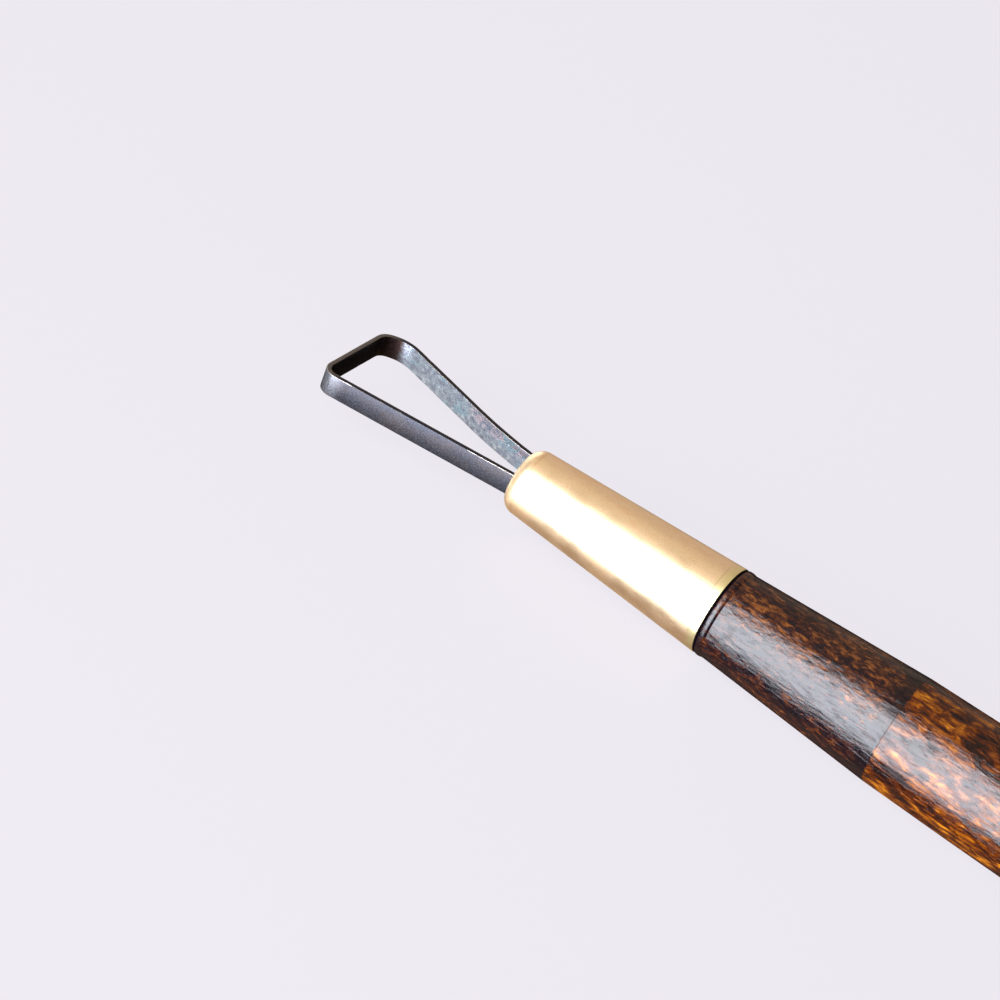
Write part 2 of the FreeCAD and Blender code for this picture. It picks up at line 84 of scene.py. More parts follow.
# How finely the shapes are drawn.
STRIP_STEP = 0.25 * MM
BEND_STEPS = 6
MERGE_DISTANCE = 0.0001 * MM
NICK_FREQUENCY = 900.0
NICK_RARITY = 0.3
FLANK = 0.78
LINE_SPREAD = 1.6
OUTLINE_STEP = 1.0 * MM
TURNING_STEPS = 160
ROUNDING_STEPS = 6
SHARP_ANGLE = math.radians(20.0)

FLOOR_GLOW = 0.955


def size(name, millimetres, description):
    """A length that the user can change."""
    return FloatProperty(
        name=name,
        description=description,
        default=millimetres * MM,
        precision=5,
        unit="LENGTH",
    )


def angle(name, degrees, description):
    """An angle that the user can change."""
    return FloatProperty(
        name=name,
        description=description,
        default=math.radians(degrees),
        subtype="ANGLE",
    )


def colour(name, rgb, description):
    """A colour that the user can change."""
    return FloatVectorProperty(
        name=name,
        description=description,
        default=(*rgb, 1.0),
        size=4,
        min=0.0,
        max=1.0,
        subtype="COLOR",
    )


class LoopSizes(bpy.types.PropertyGroup):
    """Sizes of the steel strip."""

    width: size("Width", 2.55, "Width of the strip")
    thickness: size("Thickness", 0.56, "Thickness of the strip")
    edge_round: size("Edge rounding", 0.07, "Rounding along the strip's edges")
    nick_depth: size("Nick depth", 0.06, "Deepest nick in the strip's edges")
    reach: size("Reach", 22.6, "From the mouth to the front of the bar, along the axis")
    bar_tilt: angle("Bar lean", 2.2, "Lean of the bar across the front")
    near_offset: size("Near leg offset", 2.21, "From the axis to the near leg at the mouth")
    near_angle: angle("Near leg angle", 8.2, "Angle of the near leg to the axis")
    near_corner: size("Near corner", 1.5, "Outer radius of the near corner")
    far_offset: size("Far leg offset", 2.63, "From the axis to the far leg at the mouth")
    far_root_angle: angle("Far root angle", 5.0, "Angle of the far leg at the mouth")
    far_angle: angle("Far leg angle", 14.85, "Angle of the far leg beyond its knee")
    far_corner: size("Far corner", 1.8, "Outer radius of the far corner at the bar")
    far_sweep: size("Far sweep", 4.2, "Outer radius of the far corner at the leg")
    far_flat_angle: angle("Far flat angle", 28.0, "Angle of the flat between those two radii")
    far_flat: size("Far flat", 0.3, "Length of that flat")
    knee_reach: size("Knee reach", 4.45, "From the mouth to the knee in the far leg")
    knee_radius: size("Knee radius", 50.0, "Radius of that knee")
    tang_offset: size("Tang offset", 1.9, "From the axis to the outer face of each tang")
    tang_bend: size("Tang bend", 25.0, "Radius where a leg turns into its tang")


class FerruleSizes(bpy.types.PropertyGroup):
    """Sizes of the brass ferrule."""

    wall: size("Wall", 0.5, "Thickness of the brass sheet")
    taper: angle("Taper", 3.04, "Angle of the cone to the axis")
    mouth_radius: size("Mouth radius", 3.003, "Radius of the mouth that the legs leave by")
    nose_radius: size("Nose radius", 1.55, "Outer radius of the turned-in nose")
    lip_line: size("Lip line", 0.3, "From the lip back to the fine line round it")
    hem: size("Hem", 1.0, "From the rim to the fine line that sets off the hem")
    line_depth: size("Line depth", 0.02, "Depth of both fine lines")
    rim_round: size("Rim rounding", 0.08, "Rounding of the rim's outer edge")
    inner_round: size("Inner rounding", 0.05, "Rounding of the lip and of the rim's inner edge")


class HandleSizes(bpy.types.PropertyGroup):
    """Sizes of the turned handle."""

    grip_length: size("Grip length", 58.0, "Length of the straight grip")
    butt_radius: size("Butt radius", 5.0, "Radius of the handle at the butt's face")
    butt_round: size("Butt rounding", 2.2, "Rounding of the butt's edge")
    grip_blend: size("Grip blend", 8.0, "How far each corner beside the grip is eased")
    back_taper: size("Back taper", 17.0, "From the grip to where the back taper steepens")
    back_radius: size("Back radius", 6.01, "Radius there")
    front_taper: size("Front taper", 22.0, "From the grip to where the front taper steepens")
    front_radius: size("Front radius", 6.30, "Radius there")
    front_blend: size("Front blend", 7.0, "How far the corner there is eased")
    crease_setback: size("Crease setback", 21.0, "From the shoulder to the turned crease")
    crease_radius: size("Crease radius", 6.00, "Radius at the crease")
    crease_depth: size("Crease depth", 0.015, "Depth of the crease")
    shoulder_gap: size("Shoulder gap", 0.12, "Gap between the shoulder and the ferrule")
    nose_inset: size("Nose inset", 0.06, "How far the shoulder lies inside the rim")
    bead_width: size("Bead width", 0.9, "Width of the bead at the shoulder")
    bead_height: size("Bead height", 0.09, "Height of the bead")
    tenon_clear: size("Tenon clearance", 0.04, "Gap between the tenon and the ferrule")
    socket_radius: size("Socket radius", 2.538, "Radius of the socket for the tangs")
    socket_depth: size("Socket depth", 12.0, "Depth of that socket")


class FinishColours(bpy.types.PropertyGroup):
    """Colours of the finishes."""

    steel: colour("Steel", (0.031, 0.031, 0.038), "Blued steel on the outside")
    steel_brown: colour("Steel brown", (0.046, 0.038, 0.038), "Brownish tint in the bluing")
    steel_speckle: colour("Steel speckle", (0.066, 0.070, 0.084), "Pale speckle in the bluing")
    # Painted highlight: a paler, speckled colour for the steel round the near corner.
    steel_corner_highlight: colour("Steel corner", (0.140, 0.142, 0.158), "Painted highlight at the near corner")
    inside_dark: colour("Inside dark", (0.17, 0.18, 0.22), "Dark mottling on the inside")
    inside_grey: colour("Inside grey", (0.33, 0.37, 0.41), "Blued steel on the inside")
    inside_pale: colour("Inside pale", (0.62, 0.66, 0.70), "Pale mottling on the inside")
    temper_teal: colour("Temper teal", (0.27, 0.47, 0.52), "Teal temper patches")
    temper_pink: colour("Temper pink", (0.62, 0.36, 0.42), "Pink temper patches")
    # Painted dark reflection: near black for the bar's inner face.
    bar_dark_reflection: colour("Bar dark reflection", (0.030, 0.018, 0.016), "Painted dark reflection inside the bar")
    worn_steel: colour("Worn steel", (0.30, 0.28, 0.26), "Bare steel along worn corners")
    edge_dark: colour("Edge dark", (0.014, 0.014, 0.019), "Sheared edge along the legs")
    edge_grey: colour("Edge grey", (0.05, 0.048, 0.058), "Grey grain in that edge")
    ground_brown: colour("Ground brown", (0.075, 0.068, 0.064), "Ground edge across the bar")
    ground_pale: colour("Ground pale", (0.17, 0.15, 0.14), "Pale grain in that edge")
    brass: colour("Brass", (0.96, 0.77, 0.52), "Satin brass")
    brass_dull: colour("Dull brass", (0.80, 0.52, 0.28), "Tarnished brass")
    brass_pale: colour("Pale brass", (0.95, 0.80, 0.56), "Pale streaks from drawing")
    brass_rim: colour("Rim brass", (0.80, 0.72, 0.38), "Greenish tarnish at the rim")
    nose_dark: colour("Nose dark", (0.0018, 0.0010, 0.0022), "Darkest stain on the nose")
    nose_brown: colour("Nose brown", (0.0095, 0.0020, 0.0024), "Purple brown of the nose")
    nose_wood: colour("Nose wood", (0.034, 0.009, 0.003), "Wood that shows through the stain")
    fleck: colour("Fleck", (0.120, 0.038, 0.008), "Amber flecks in the dark stain")
    amber_dark: colour("Amber dark", (0.0045, 0.0010, 0.0009), "Dark streaks in the amber wood")
    amber: colour("Amber", (0.042, 0.0072, 0.0004), "Amber stain")
    amber_light: colour("Amber light", (0.140, 0.038, 0.0012), "Light amber")
    amber_gold: colour("Amber gold", (0.32, 0.120, 0.004), "Golden specks in the amber")
    resin: colour("Resin", (0.20, 0.15, 0.10), "Cast resin in the ferrule's mouth")
    bare_wood: colour("Bare wood", (0.62, 0.46, 0.28), "The wedge between the tangs")


class StageSettings(bpy.types.PropertyGroup):
    """Camera, floor and light."""

    aim_behind_lip: size("Aim behind lip", 0.59, "Camera's aim point, behind the ferrule's lip")
    aim_side: size("Aim side", 5.14, "Camera's aim point, beside the axis")
    distance: size("Distance", 318.0, "From the aim point to the camera")
    azimuth: angle("Azimuth", 200.0, "Camera's bearing round the tool")
    elevation: angle("Elevation", 36.47, "Camera's height above the tool")
    roll: angle("Roll", 21.93, "Camera's roll")
    lens: FloatProperty(
        name="Lens",
        description="Focal length",
        default=114.23,
        unit="CAMERA",
    )
    floor_size: size("Floor size", 8000.0, "Side of the square floor")
    floor_colour: colour("Floor", (0.822, 0.788, 0.850), "Pale floor")
    surround: colour("Surround", (0.022, 0.021, 0.022), "Dim light from all round")


SETTINGS = {
    "tool_loop": LoopSizes,
    "tool_ferrule": FerruleSizes,
    "tool_handle": HandleSizes,
    "tool_finish": FinishColours,
    "tool_stage": StageSettings,
}


# Finishes


def add_node(tree, kind, inputs=None, **settings):
    """A node whose inputs are given by name or place: a socket is linked and a value is set."""
    made = tree.nodes.new(kind)
    for name, value in settings.items():
        setattr(made, name, value)
    for name, value in (inputs or {}).items():
        if isinstance(value, bpy.types.NodeSocket):
            tree.links.new(value, made.inputs[name])
        else:
            made.inputs[name].default_value = value
    return made


def start_material(name, **constants):
    """A node material with one Principled shader and its plain values."""
    material = bpy.data.materials.new(name)
    material.use_nodes = True
    shader = material.node_tree.nodes["Principled BSDF"]
    for socket, value in constants.items():
        shader.inputs[socket.replace("_", " ")].default_value = value
    return material, material.node_tree, shader


def stretched(tree, scale=(1.0, 1.0, 1.0)):
    """Object coordinates in millimetres, stretched or squeezed along each axis."""
    place = add_node(tree, "ShaderNodeTexCoord").outputs["Object"]
    inputs = {"Vector": place, "Scale": tuple(axis / MM for axis in scale)}
    return add_node(tree, "ShaderNodeMapping", inputs).outputs["Vector"]


def position(tree):
    """Object coordinates, as three separate sockets in metres."""
    place = add_node(tree, "ShaderNodeTexCoord").outputs["Object"]
    return add_node(tree, "ShaderNodeSeparateXYZ", {0: place}).outputs


def along_strip(tree):
    """How far along the strip a point lies, in metres, from the end of its first tang."""
    return add_node(tree, "ShaderNodeAttribute", attribute_name="along").outputs["Fac"]


def cloud(tree, vector, scale, detail=3.0, roughness=0.5, distortion=0.0):
    """Soft noise, from 0 to 1."""
    inputs = {
        "Vector": vector,
        "Scale": scale,
        "Detail": detail,
        "Roughness": roughness,
        "Distortion": distortion,
    }
    return add_node(tree, "ShaderNodeTexNoise", inputs).outputs["Fac"]


def spots(tree, vector, scale):
    """Distance to the nearest of many scattered points."""
    inputs = {"Vector": vector, "Scale": scale, "Randomness": 1.0}
    return add_node(tree, "ShaderNodeTexVoronoi", inputs).outputs["Distance"]


def rise(tree, value, start, end, low=0.0, high=1.0):
    """A smooth step from low to high as the value goes from start to end."""
    inputs = {
        "Value": value,
        "From Min": start,
        "From Max": end,
        "To Min": low,
        "To Max": high,
    }
    kind = "ShaderNodeMapRange"
    return add_node(tree, kind, inputs, interpolation_type="SMOOTHSTEP").outputs["Result"]


def calculate(tree, operation, first, second=0.5):
    """One sum on two numbers."""
    inputs = {0: first, 1: second}
    return add_node(tree, "ShaderNodeMath", inputs, operation=operation).outputs[0]


def distance_from(tree, value, place):
    """How far a value lies from a place, on either side of it."""
    return calculate(tree, "ABSOLUTE", calculate(tree, "SUBTRACT", value, place))


def both(tree, first, second):
    """A factor that is high only where two others are."""
    return calculate(tree, "MULTIPLY", first, second)


def tint(tree, factor, first, second):
    """The first colour, turning into the second as the factor rises."""
    inputs = {0: factor, 6: first, 7: second}
    return add_node(tree, "ShaderNodeMix", inputs, data_type="RGBA").outputs[2]


def darkened(shade, share):
    """A colour at a share of its brightness."""
    return (*(share * part for part in shade[:3]), 1.0)


def bands(tree, value, *stops):
    """A colour ramp through (place, colour) stops."""
    made = add_node(tree, "ShaderNodeValToRGB", {0: value})
    ramp = made.color_ramp
    for _ in stops[2:]:
        ramp.elements.new(1.0)
    for element, (place, shade) in zip(ramp.elements, stops):
        element.position = place
        element.color = shade
    return made.outputs["Color"]


def bumped(tree, shader, height, depth, socket="Normal"):
    """Raise the surface by a depth, in metres, where the height is 1."""
    inputs = {"Height": height, "Distance": depth, "Strength": 1.0}
    normal = add_node(tree, "ShaderNodeBump", inputs).outputs["Normal"]
    tree.links.new(normal, shader.inputs[socket])


def connect(tree, value, shader, socket):
    """Link a node's output to one of the shader's inputs."""
    tree.links.new(value, shader.inputs[socket])


def worn_edges(tree, half_width, broken):
    """Bare lines along the strip's upper and lower edges, wherever the noise is high."""
    _, _, height = position(tree)
    worn_from = rise(tree, broken, 0.38, 0.6, half_width + 0.03 * MM, half_width - 0.045 * MM)
    return calculate(tree, "GREATER_THAN", calculate(tree, "ABSOLUTE", height), worn_from)


def blued_outside(finish, half_width, marks):
    """Smooth slate bluing with brownish clouds, with a painted highlight making it paler at the near
    corner, worn at its edges.
    """
    material, tree, shader = start_material("blued_steel_outside", Metallic=1.0)
    along = along_strip(tree)
    soft = cloud(tree, stretched(tree, (0.35, 0.6, 0.8)), 0.55, 3.0)
    fine = cloud(tree, stretched(tree), 7.0, 4.0, 0.6)
    pits = spots(tree, stretched(tree), 3.6)
    shade = tint(tree, rise(tree, soft, 0.42, 0.68), finish.steel, finish.steel_brown)
    shade = tint(tree, rise(tree, fine, 0.40, 0.72, 0.0, 0.75), shade, finish.steel_speckle)
    # Painted highlight: the steel is paler and speckled round the near corner.
    from_corner = distance_from(tree, along, marks["near"])
    speckle = rise(tree, fine, 0.4, 0.6, 0.55, 1.0)
    corner_highlight = both(tree, rise(tree, from_corner, 2.6 * MM, 0.9 * MM), speckle)
    shade = tint(tree, corner_highlight, shade, finish.steel_corner_highlight)

    # The near leg is worn most towards its two ends.
    from_middle = distance_from(tree, along, marks["near_leg"])
    broken = cloud(tree, stretched(tree, (0.3, 0.8, 0.8)), 0.9, 2.0)
    broken = calculate(tree, "ADD", broken, rise(tree, from_middle, 2 * MM, 8 * MM, -0.10, 0.12))
    shade = tint(tree, worn_edges(tree, half_width, broken), shade, finish.worn_steel)
    connect(tree, shade, shader, "Base Color")
    connect(tree, rise(tree, fine, 0.3, 0.7, 0.42, 0.50), shader, "Roughness")
    pitted = rise(tree, pits, 0.0, 0.16)
    surface = calculate(tree, "ADD", pitted, calculate(tree, "MULTIPLY", fine, 0.35))
    bumped(tree, shader, surface, 0.004 * MM)
    return material


def blued_inside(finish, half_width, marks):
    """Mottled temper colours: grey and teal on the leg, pink near its root, and a painted dark
    reflection making the bar's inner face black.
    """
    material, tree, shader = start_material("blued_steel_inside", Metallic=1.0)
    _, _, height = position(tree)
    along = along_strip(tree)
    soft = cloud(tree, stretched(tree, (0.55, 0.8, 1.0)), 0.75, 3.0, 0.55)
    mottle = cloud(tree, stretched(tree, (0.8, 1.0, 1.0)), 2.1, 5.0, 0.65)
    pits = spots(tree, stretched(tree), 3.2)
    shade = tint(tree, rise(tree, mottle, 0.36, 0.62), finish.inside_dark, finish.inside_grey)
    shade = tint(tree, rise(tree, mottle, 0.56, 0.72), shade, finish.inside_pale)
    shade = tint(tree, rise(tree, soft, 0.50, 0.64, 0.0, 0.4), shade, finish.temper_teal)
    upper = rise(tree, height, -0.3 * MM, 0.7 * MM)
    root = both(
        tree,
        rise(tree, along, marks["knee"] - 6.0 * MM, marks["knee"] - 3.0 * MM),
        rise(tree, along, marks["far_mouth"] + 0.5 * MM, marks["far_mouth"] - 1.5 * MM),
    )
    pink = both(tree, both(tree, upper, root), rise(tree, mottle, 0.46, 0.56, 0.0, 0.5))
    shade = tint(tree, pink, shade, finish.temper_pink)
    # Painted dark reflection: the inner face from the near corner to the sweep is painted near black,
    # and shows no worn edges.
    wander = calculate(tree, "ADD", along, calculate(tree, "MULTIPLY", soft, 0.8 * MM))
    painted_dark_reflection = both(
        tree,
        rise(tree, wander, marks["near"] - 1.5 * MM, marks["near"]),
        rise(tree, wander, marks["sweep"] + 1.2 * MM, marks["sweep"] - 0.4 * MM),
    )
    shade = tint(tree, painted_dark_reflection, shade, finish.bar_dark_reflection)
    broken = cloud(tree, stretched(tree, (0.3, 0.8, 0.8)), 0.8, 2.0)
    not_painted_dark = calculate(tree, "SUBTRACT", 1.0, painted_dark_reflection)
    worn = both(tree, worn_edges(tree, half_width, broken), not_painted_dark)
    shade = tint(tree, worn, shade, finish.worn_steel)
    connect(tree, shade, shader, "Base Color")
    connect(tree, rise(tree, mottle, 0.3, 0.7, 0.46, 0.34), shader, "Roughness")
    pitted = rise(tree, pits, 0.0, 0.2)
    surface = calculate(tree, "ADD", pitted, calculate(tree, "MULTIPLY", mottle, 0.8))
    bumped(tree, shader, surface, 0.010 * MM)
    return material


def sheared_edge(finish, marks):
    """The strip's sheared edges: near black along the legs, brown and ground across the bar."""
    material, tree, shader = start_material("sheared_edge", Metallic=1.0)
    along = along_strip(tree)
    fine = cloud(tree, stretched(tree), 5.0, 4.0, 0.6)
    across = both(
        tree,
        rise(tree, along, marks["near"] - 2.0 * MM, marks["near"] - 0.4 * MM),
        rise(tree, along, marks["far"] + 3.0 * MM, marks["far"]),
    )
    sheared = tint(tree, fine, finish.edge_dark, finish.edge_grey)
    ground = tint(tree, fine, finish.ground_brown, finish.ground_pale)
    connect(tree, tint(tree, across, sheared, ground), shader, "Base Color")
    connect(tree, rise(tree, fine, 0.3, 0.7, 0.42, 0.6), shader, "Roughness")
    bumped(tree, shader, fine, 0.012 * MM)
    return material


def satin_brass(finish):
    """Drawn brass with a soft satin, a little tarnish in clouds and a greenish rim."""
    material, tree, shader = start_material("satin_brass", Metallic=1.0)
    along, _, _ = position(tree)
    drawn = cloud(tree, stretched(tree, (0.25, 1.0, 1.0)), 2.2, 4.0, 0.6)
    patch = cloud(tree, stretched(tree, (0.6, 1.0, 1.0)), 0.45, 4.0, 0.6)
    grain = cloud(tree, stretched(tree), 8.0, 2.0, 0.6)
    shade = tint(tree, rise(tree, patch, 0.45, 0.70, 0.0, 0.6), finish.brass, finish.brass_dull)
    shade = tint(tree, rise(tree, grain, 0.42, 0.62, 0.0, 0.45), shade, finish.brass_dull)
    shade = tint(tree, rise(tree, drawn, 0.35, 0.75, 0.0, 0.25), shade, finish.brass_pale)
    wander = calculate(tree, "ADD", along, calculate(tree, "MULTIPLY", drawn, 0.5 * MM))
    at_rim = rise(tree, wander, RIM + 1.7 * MM, RIM + 0.6 * MM, 0.0, 0.8)
    shade = tint(tree, at_rim, shade, finish.brass_rim)
    from_bend = distance_from(tree, along, LIP - 1.3 * MM)
    bend_line = rise(tree, from_bend, 0.22 * MM, 0.02 * MM, 0.0, 0.5)
    shade = tint(tree, bend_line, shade, finish.brass_dull)
    connect(tree, shade, shader, "Base Color")
    connect(tree, rise(tree, patch, 0.3, 0.7, 0.31, 0.42), shader, "Roughness")
    surface = calculate(tree, "ADD", grain, calculate(tree, "MULTIPLY", drawn, 1.5))
    bumped(tree, shader, surface, 0.006 * MM)
    return material


def lacquered_wood(finish, crease, shoulder, bead_width):
    """Amber-stained wood under gloss lacquer, with a nearly black nose in front of the crease."""
    material, tree, shader = start_material(
        "lacquered_wood",
        Coat_Weight=1.0,
        Coat_Roughness=0.10,
        Coat_IOR=1.36,
        Specular_IOR_Level=0.0,
    )
    along, _, height = position(tree)
    grain = cloud(tree, stretched(tree, (0.16, 1.0, 1.0)), 2.6, 4.0, 0.6, 0.3)
    mottle = cloud(tree, stretched(tree, (0.42, 1.0, 1.0)), 1.25, 5.0, 0.66, 0.5)
    patch = cloud(tree, stretched(tree, (0.5, 1.0, 1.0)), 0.33, 2.0)

    # The amber wood: soft blotches broken up by grain.
    lines = calculate(tree, "MULTIPLY", calculate(tree, "SUBTRACT", grain, 0.5), 0.45)
    figure = calculate(tree, "ADD", mottle, lines)
    figure = calculate(tree, "ADD", figure, rise(tree, patch, 0.35, 0.65, -0.07, 0.07))
    amber = bands(
        tree,
        figure,
        (0.38, finish.amber_dark),
        (0.51, finish.amber),
        (0.63, finish.amber_light),
        (0.76, finish.amber_gold),
    )

    # The nose: purple-brown stain, where the wood shows through as amber dashes, mostly on top.
    dashes = cloud(tree, stretched(tree, (0.42, 1.0, 1.0)), 2.3, 4.0, 0.68, 0.4)
    shown = calculate(tree, "ADD", dashes, rise(tree, height, 1.6 * MM, 4.2 * MM, -0.07, 0.03))
    shown = calculate(tree, "ADD", shown, rise(tree, patch, 0.38, 0.62, -0.05, 0.03))
    nose = bands(
        tree,
        shown,
        (0.38, finish.nose_dark),
        (0.47, finish.nose_brown),
        (0.57, finish.nose_wood),
        (0.70, finish.fleck),
    )
    ring = both(
        tree,
        rise(tree, along, crease + 2.6 * MM, crease + 0.6 * MM),
        rise(tree, along, crease - 0.4 * MM, crease),
    )
    nose = tint(tree, calculate(tree, "MULTIPLY", ring, 0.8), nose, finish.nose_dark)

    # The two stains meet at the crease in a line that follows the grain.
    ragged = calculate(tree, "MULTIPLY", calculate(tree, "SUBTRACT", grain, 0.5), 0.9 * MM)
    wander = calculate(tree, "ADD", along, ragged)
    in_nose = rise(tree, wander, crease - 0.12 * MM, crease + 0.12 * MM)
    shade = tint(tree, in_nose, amber, nose)
    # Painted shade: the bead's face at the joint with the ferrule is near black and has no lacquer. It
    # stands in for the shade in the gap.
    joint_shade = rise(tree, along, shoulder - 0.25 * bead_width, shoulder - 0.12 * bead_width)
    shade = tint(tree, joint_shade, shade, finish.nose_dark)
    connect(tree, shade, shader, "Base Color")
    connect(tree, rise(tree, mottle, 0.3, 0.7, 0.35, 0.55), shader, "Roughness")

    # Grain raises the lacquer and dulls it in streaks, so the highlight's edges are ragged.
    streaks = cloud(tree, stretched(tree, (0.24, 1.0, 1.0)), 2.6, 5.0, 0.7, 0.6)
    ripple = cloud(tree, stretched(tree, (0.30, 1.0, 1.0)), 1.2, 2.0)
    raised = calculate(tree, "ADD", streaks, calculate(tree, "MULTIPLY", ripple, 1.6))
    bumped(tree, shader, raised, 0.058 * MM, "Coat Normal")
    dulled = rise(tree, streaks, 0.34, 0.50, 0.62, 1.0)
    facing = add_node(tree, "ShaderNodeLayerWeight", {"Blend": 0.5}).outputs["Facing"]
    glossy = both(tree, dulled, rise(tree, facing, 0.45, 0.9, 1.0, 0.2))
    glossy = both(tree, glossy, calculate(tree, "SUBTRACT", 1.0, joint_shade))
    connect(tree, glossy, shader, "Coat Weight")
    return material


def bare_hardwood(finish):
    """Plain split hardwood with fine grain."""
    material, tree, shader = start_material("bare_hardwood", Roughness=0.7)
    grain = cloud(tree, stretched(tree, (0.1, 1.0, 1.0)), 2.4, 4.0, 0.6)
    darker = darkened(finish.bare_wood, 0.6)
    shade = tint(tree, rise(tree, grain, 0.35, 0.65), finish.bare_wood, darker)
    connect(tree, shade, shader, "Base Color")
    bumped(tree, shader, grain, 0.03 * MM)
    return material


def cast_resin(finish):
    """Dull brown resin with a slightly uneven, cloudy face."""
    material, tree, shader = start_material("cast_resin", Coat_Weight=0.4)
    haze = cloud(tree, stretched(tree), 1.1, 4.0, 0.6)
    darker = darkened(finish.resin, 0.55)
    shade = tint(tree, rise(tree, haze, 0.35, 0.65), finish.resin, darker)
    connect(tree, shade, shader, "Base Color")
    connect(tree, rise(tree, haze, 0.3, 0.7, 0.25, 0.5), shader, "Roughness")
    bumped(tree, shader, haze, 0.06 * MM)
    return material


def pale_floor(stage):
    """A pale floor that glows a little, so it stays even and takes only a faint shadow."""
    material, _, shader = start_material("pale_floor", Roughness=0.9, Specular_IOR_Level=0.0)
    shader.inputs["Base Color"].default_value = (0.035, 0.035, 0.035, 1.0)
    shader.inputs["Emission Color"].default_value = stage.floor_colour
    shader.inputs["Emission Strength"].default_value = FLOOR_GLOW
    return material


# Shapes


def finish_piece(name, bm, *materials, slot, stands_for):
    """Turn a finished bmesh into a piece of the tool."""
    for face in bm.faces:
        face.smooth = True
    mesh = bpy.data.meshes.new(name)
    bm.to_mesh(mesh)
    bm.free()
    mesh.set_sharp_from_angle(angle=SHARP_ANGLE)
    for material in materials:
        mesh.materials.append(material)
    piece = bpy.data.objects.new(name, mesh)
    bpy.context.scene.collection.objects.link(piece)
    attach(piece, "root")
    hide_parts(stands_for)
    return piece


def heading(turn):
    """A direction in the plane of the loop, by its angle to the axis."""
    return Vector((math.cos(turn), math.sin(turn), 0.0))


def meet(first, second):
    """Where two lines cross, each given by a point and a direction."""
    (start, way), (other_start, other_way) = first, second
    found = intersect_line_line(start, start + way, other_start, other_start + other_way)
    return found[0]


def strip_corners(loop):
    """Where the straights of the strip's centre line would meet, and the bend radius there."""
    half = loop.thickness / 2
    tang = loop.tang_offset - half
    near_tang = Vector((TANG_END, tang, 0.0))
    far_tang = Vector((TANG_END, -tang, 0.0))
    near_leg = (Vector((LIP, loop.near_offset - half, 0.0)), heading(loop.near_angle))
    far_root = (Vector((LIP, half - loop.far_offset, 0.0)), heading(-loop.far_root_angle))
    knee = meet(far_root, (Vector((LIP + loop.knee_reach, 0.0, 0.0)), heading(math.pi / 2)))
    far_leg = (knee, heading(-loop.far_angle))
    across = heading(math.pi / 2 - loop.bar_tilt)
    bar = (Vector((LIP + loop.reach - half, 0.0, 0.0)), across)

    # The far corner has two radii, so a short flat cuts off the point where bar and leg meet.
    turn_out = math.pi / 2 - loop.far_flat_angle - loop.bar_tilt
    turn_in = loop.far_flat_angle + loop.far_angle
    corner_radius = loop.far_corner - half
    sweep_radius = loop.far_sweep - half
    flat = (
        corner_radius * math.tan(turn_out / 2)
        + sweep_radius * math.tan(turn_in / 2)
        + loop.far_flat
    )
    cut = flat * math.sin(turn_in) / math.sin(turn_out + turn_in)
    flat_start = meet(bar, far_leg) + across * cut
    flat_end = meet((flat_start, heading(loop.far_flat_angle)), far_leg)
    return [
        (near_tang, 0.0),
        (meet(near_leg, (near_tang, heading(0.0))), loop.tang_bend),
        (meet(near_leg, bar), loop.near_corner - half),
        (flat_start, corner_radius),
        (flat_end, sweep_radius),
        (knee, loop.knee_radius),
        (meet(far_root, (far_tang, heading(0.0))), loop.tang_bend),
        (far_tang, 0.0),
    ]


def strip_section(bm, loop, start):
    """The strip's section with its rounded corners, set across the axis at its first tang's end."""
    outward = bm.verts.layers.float.new("outward")
    bmesh.ops.create_grid(bm, x_segments=1, y_segments=1, size=0.5)
    bmesh.ops.scale(bm, vec=(loop.thickness, loop.width, 1.0), verts=bm.verts[:])
    bmesh.ops.bevel(
        bm,
        geom=bm.verts[:],
        offset=loop.edge_round,
        offset_type="OFFSET",
        segments=3,
        profile=0.5,
        affect="VERTICES",
        material=-1,
    )
    for vert in bm.verts:
        vert[outward] = vert.co.x / (loop.thickness / 2)
    upright = Matrix(((0, 0, 1), (1, 0, 0), (0, 1, 0))).to_4x4()
    place = Matrix.Translation(start) @ upright
    bmesh.ops.transform(bm, matrix=place, space=Matrix.Identity(4), verts=bm.verts[:])
    return bm.faces[:][0]


def draw_on(bm, face, move, steps, travelled, length):
    """Extrude the section's face in steps, each moved by the same transform."""
    along = bm.verts.layers.float["along"]
    for step in range(1, steps + 1):
        made = bmesh.ops.extrude_face_region(bm, geom=[face])["geom"]
        verts = [part for part in made if isinstance(part, bmesh.types.BMVert)]
        face = next(part for part in made if isinstance(part, bmesh.types.BMFace))
        bmesh.ops.transform(bm, matrix=move, space=Matrix.Identity(4), verts=verts)
        for vert in verts:
            vert[along] = travelled + length * step / steps
    return face, travelled + length


def draw_straight(bm, face, way, length, travelled):
    """Draw the strip straight on."""
    steps = max(1, round(length / STRIP_STEP))
    move = Matrix.Translation(way * (length / steps))
    return draw_on(bm, face, move, steps, travelled, length)


def draw_bend(bm, face, centre, turn, radius, travelled):
    """Draw the strip round a bend."""
    steps = max(BEND_STEPS, round(abs(turn) * radius / STRIP_STEP))
    about = Matrix.Translation(centre)
    move = about @ Matrix.Rotation(turn / steps, 4, "Z") @ about.inverted()
    return draw_on(bm, face, move, steps, travelled, abs(turn) * radius)


